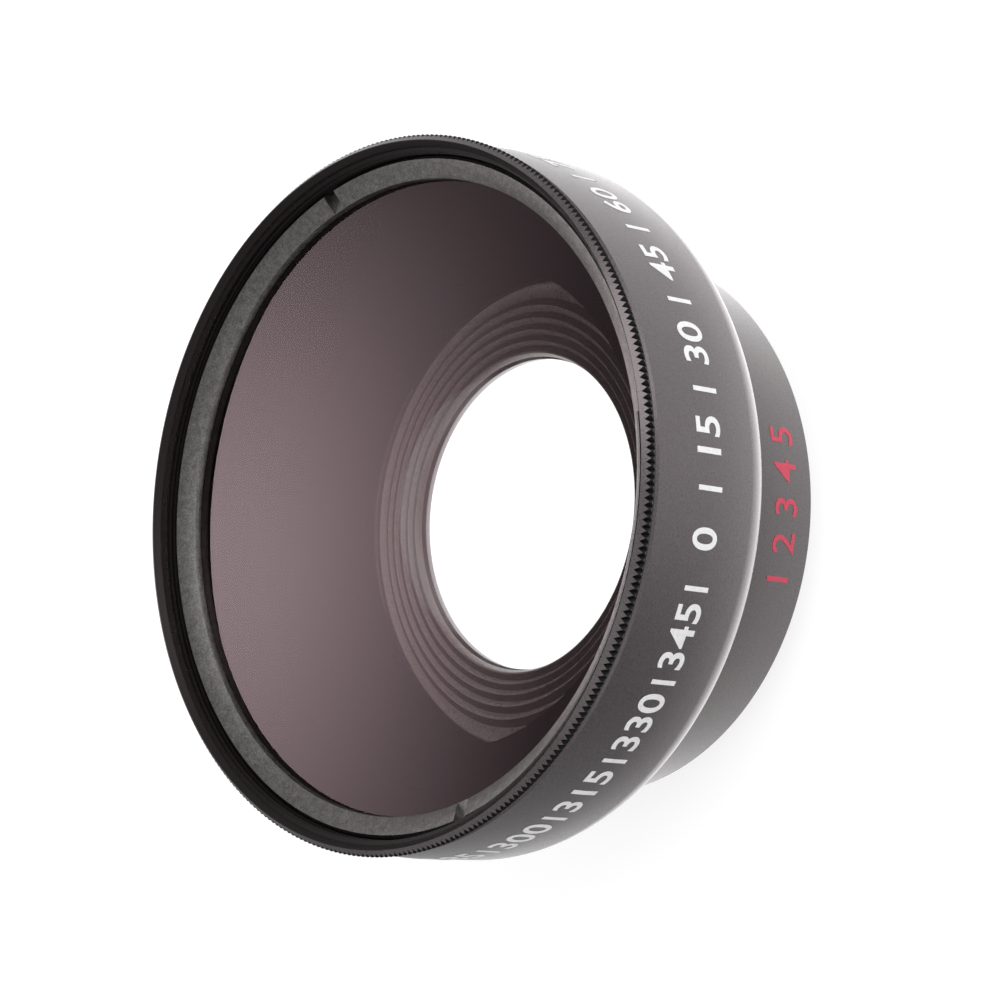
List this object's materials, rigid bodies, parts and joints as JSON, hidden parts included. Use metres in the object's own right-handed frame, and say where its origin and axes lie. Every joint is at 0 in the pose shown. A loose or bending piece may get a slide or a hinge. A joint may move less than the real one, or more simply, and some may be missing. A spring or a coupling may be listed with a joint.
{
  "type": "wide-angle conversion lens",
  "caption": "Screw-in wide-angle conversion lens with a knurled front barrel that unscrews from a macro section.",
  "frame": {"origin": "on the optical axis, at the end of the camera thread that the lens stands on", "axes": "+Z along the optical axis towards the front glass, +X across the knurled rim"},
  "size_m": [0.0748, 0.0748, 0.0383],
  "materials": {
    "black_anodised": "satin",
    "macro_black": "satin",
    "ring_grey": "satin",
    "coated_glass": "polished"
  },
  "bodies": {
    "macro_section": {"macro_housing": "macro_black", "macro_element": "coated_glass", "macro_retaining_ring": "macro_black"},
    "front_section": {"front_barrel": "black_anodised", "front_element": "coated_glass", "front_retaining_ring": "ring_grey"}
  },
  "joints": [
    {"name": "front_section_unscrew", "type": "slide", "parent": "macro_section", "child": "front_section", "axis": [0, 0, 1], "range_m": [0, 0.012]}
  ]
}
